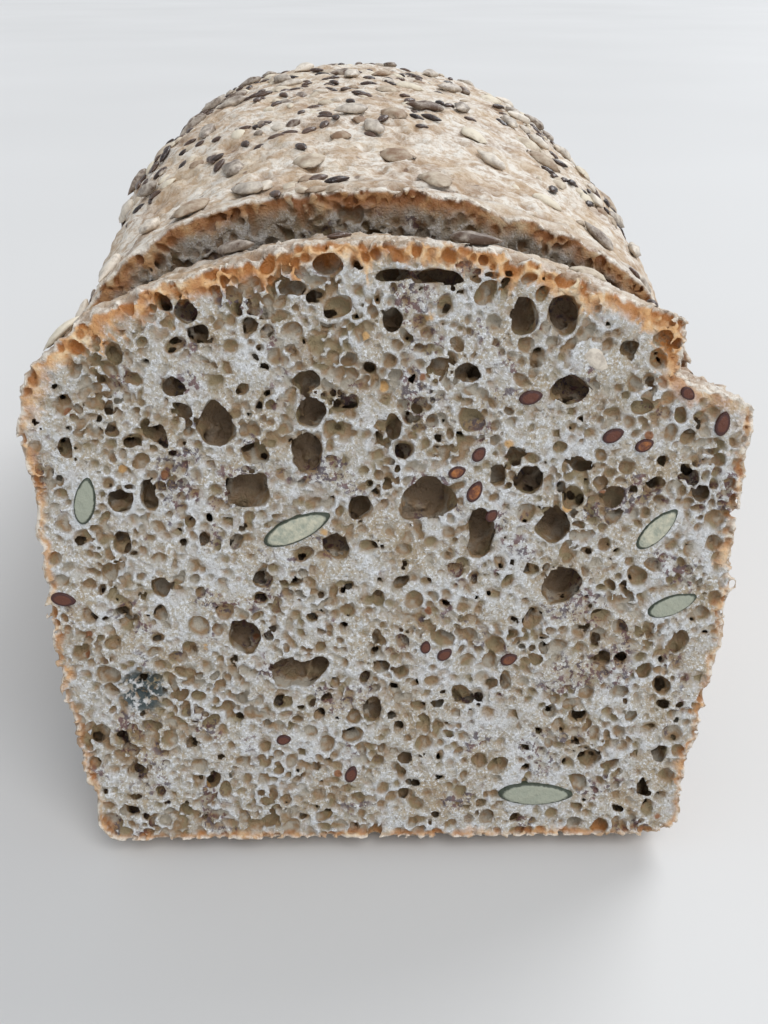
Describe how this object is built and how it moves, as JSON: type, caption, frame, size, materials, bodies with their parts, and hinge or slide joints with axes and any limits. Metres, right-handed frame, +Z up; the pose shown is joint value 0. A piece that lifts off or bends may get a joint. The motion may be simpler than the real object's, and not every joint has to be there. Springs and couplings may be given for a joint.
{
  "type": "multigrain bread loaf",
  "caption": "Cut tin loaf of multigrain bread with a slice leaning on its cut face, open seeded crumb and a floury seeded dome.",
  "frame": {"origin": "middle of the footprint, on the surface the bread stands on", "axes": "+Y along the loaf from the leaning slice to the uncut end, +X across the loaf to the right seen from the slice, +Z up"},
  "size_m": [0.1228, 0.2393, 0.1179],
  "materials": {
    "crust": "matte, floury brown crust",
    "crumb": "matte, grey-beige open crumb",
    "sunflower_seed": "satin, grey-brown kernels",
    "grain_flake": "matte, pale flakes",
    "flax_seed": "glossy, red-brown seeds",
    "pumpkin_seed": "satin, dark green rim and pale inside"
  },
  "bodies": {
    "root": {"loaf": "crust", "slice": "crumb"}
  },
  "joints": []
}
